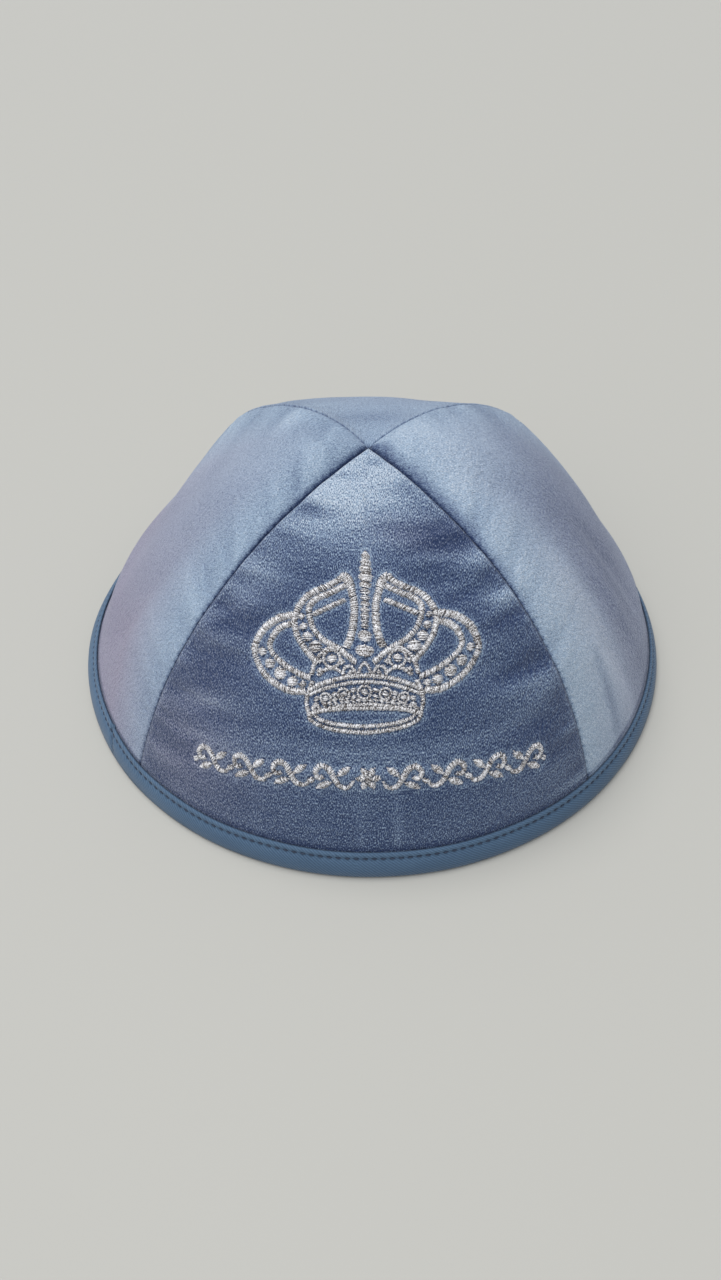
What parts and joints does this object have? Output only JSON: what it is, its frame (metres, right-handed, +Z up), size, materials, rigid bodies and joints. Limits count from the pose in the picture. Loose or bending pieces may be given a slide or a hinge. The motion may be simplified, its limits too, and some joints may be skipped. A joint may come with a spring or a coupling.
{
  "type": "kippah skullcap",
  "caption": "Velvet skullcap of sewn triangular panels with a folded binding tape round the rim, open below for the head, resting on its rim.",
  "frame": {"origin": "centre of the rim, on the surface that the cap rests on", "axes": "+Z up through the point where the panels meet, -Y towards the embroidered front panel, +X to the wearer's left"},
  "size_m": [0.1629, 0.1625, 0.0654],
  "materials": {
    "velvet_front": "short-pile velvet, brushed darker, dusty blue",
    "velvet_side": "short-pile velvet, brushed lighter, dusty blue to lilac",
    "binding_twill": "satin twill bias tape, mid blue, stitched",
    "silver_thread": "metallic silver embroidery thread, speckled",
    "sewing_thread": "dark blue sewing thread"
  },
  "bodies": {
    "root": {"panel_front": "velvet_front", "panel_right": "velvet_side", "panel_back": "velvet_side", "panel_left": "velvet_side", "binding_tape": "binding_twill"}
  },
  "joints": []
}
